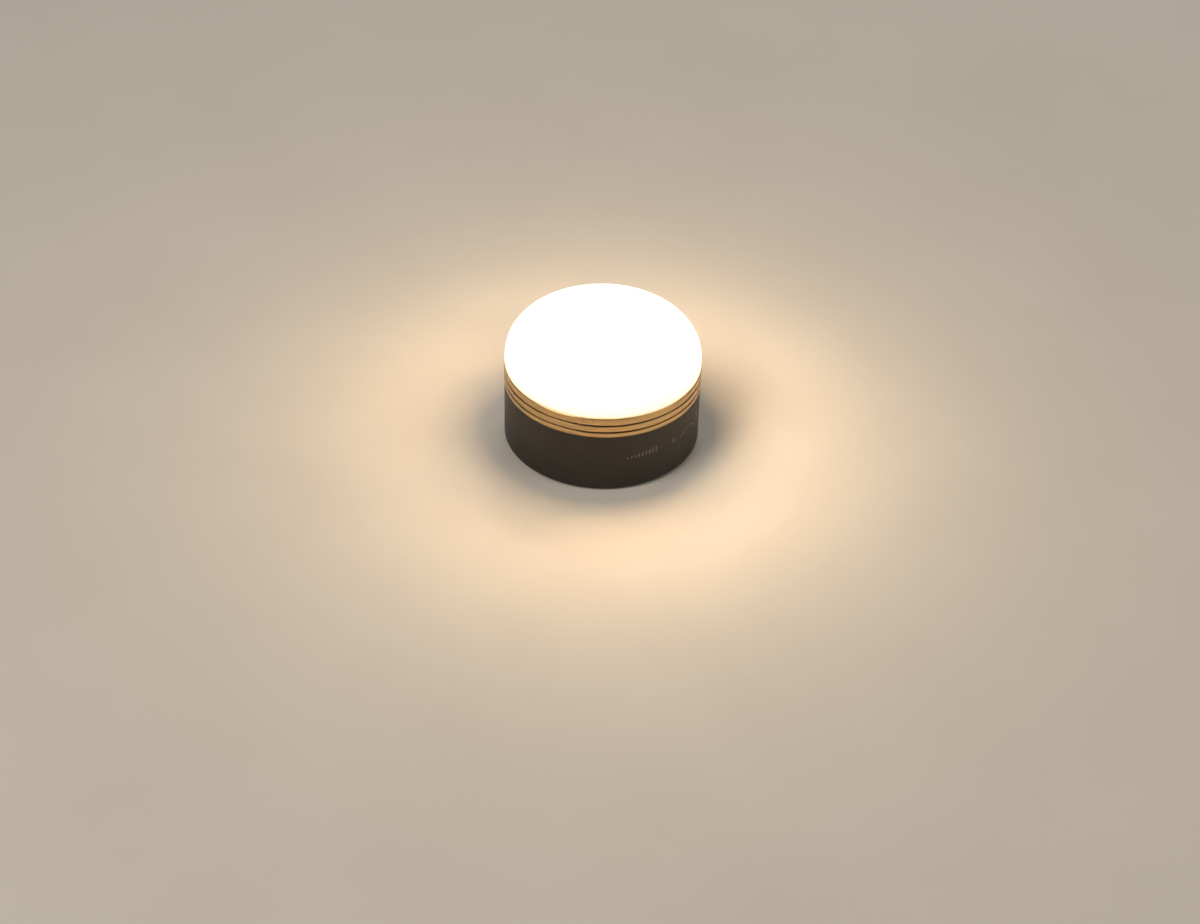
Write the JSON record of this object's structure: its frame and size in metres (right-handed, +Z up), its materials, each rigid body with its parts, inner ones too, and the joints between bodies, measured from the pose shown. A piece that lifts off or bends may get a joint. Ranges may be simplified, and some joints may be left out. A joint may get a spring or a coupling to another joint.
{
  "type": "smart light bulb",
  "caption": "Squat free-standing round smart light: opal dome over a three-band collar with a turning dimmer ring, on a dark battery base with a rear power button and charging port.",
  "frame": {"origin": "on the surface the lamp stands on, on its vertical axis", "axes": "+Z up the lamp's axis, -Y the front, +Y the back with the charging port, +X to the right seen from the front"},
  "size_m": [0.108, 0.108, 0.077],
  "materials": {
    "opal_diffuser": "satin opal, lit from inside",
    "collar_metal": "satin champagne bronze anodising",
    "shell_plastic": "fine spark-eroded charcoal",
    "silicone": "matte",
    "slip_plastic": "natural low friction",
    "white_plastic": "bright white",
    "circuit_board": "solder mask over glass fibre laminate",
    "white_circuit_board": "white solder mask over an aluminium core",
    "bare_aluminium": "as cast",
    "screw_steel": "zinc plated",
    "brass": "turned",
    "nickel": "nickel plated",
    "chip_plastic": "moulded epoxy",
    "cell_pouch": "laminate foil",
    "wire_red": "smooth insulation",
    "wire_black": "smooth insulation",
    "phosphor": "silicone over phosphor"
  },
  "bodies": {
    "base": {"diffuser_dome": "opal_diffuser", "bezel_ring": "collar_metal", "mid_frame": "collar_metal", "body_shell": "shell_plastic", "base_plate": "shell_plastic", "battery_tray": "shell_plastic", "foot_ring": "silicone", "base_gasket": "silicone", "upper_glide": "slip_plastic", "lower_glide": "slip_plastic", "reflector": "white_plastic", "light_pipe": "white_plastic", "main_board": "circuit_board", "battery_board": "circuit_board", "led_board": "white_circuit_board", "heat_sink": "bare_aluminium", "capacitor_1": "bare_aluminium", "capacitor_2": "bare_aluminium", "base_screw_4": "screw_steel", "base_screw_1": "screw_steel", "base_screw_2": "screw_steel", "base_screw_3": "screw_steel", "frame_screw_1": "screw_steel", "frame_screw_2": "screw_steel", "frame_screw_3": "screw_steel", "sink_screw_1": "screw_steel", "sink_screw_2": "screw_steel", "sink_screw_3": "screw_steel", "board_screw_1": "screw_steel", "board_screw_2": "screw_steel", "board_screw_3": "screw_steel", "standoff_1": "brass", "standoff_2": "brass", "standoff_3": "brass", "charging_port": "nickel", "radio_module": "nickel", "control_chip": "chip_plastic", "power_inductor": "chip_plastic", "button_switch": "chip_plastic", "ring_sensor": "chip_plastic", "port_tongue": "chip_plastic", "battery_pack": "cell_pouch", "battery_lead_2": "wire_red", "led_lead_2": "wire_red", "battery_lead_1": "wire_black", "led_lead_1": "wire_black", "led_1": "phosphor", "led_2": "phosphor", "led_3": "phosphor", "led_4": "phosphor", "led_5": "phosphor", "led_6": "phosphor", "led_7": "phosphor", "led_8": "phosphor"},
    "dimmer": {"dimmer_ring": "collar_metal", "ring_magnet_1": "nickel", "ring_magnet_2": "nickel", "ring_magnet_3": "nickel", "ring_magnet_4": "nickel"},
    "button": {"power_button": "shell_plastic"}
  },
  "joints": [
    {"name": "dimmer_turn", "type": "hinge", "parent": "base", "child": "dimmer", "pos_m": [0, 0, 0.04145], "axis": [0, 0, 1], "continuous": true},
    {"name": "power_press", "type": "slide", "parent": "base", "child": "button", "axis": [-0.342, -0.9397, 0], "range_m": [0, 0.0007], "stiffness_N_per_m": 1500}
  ]
}
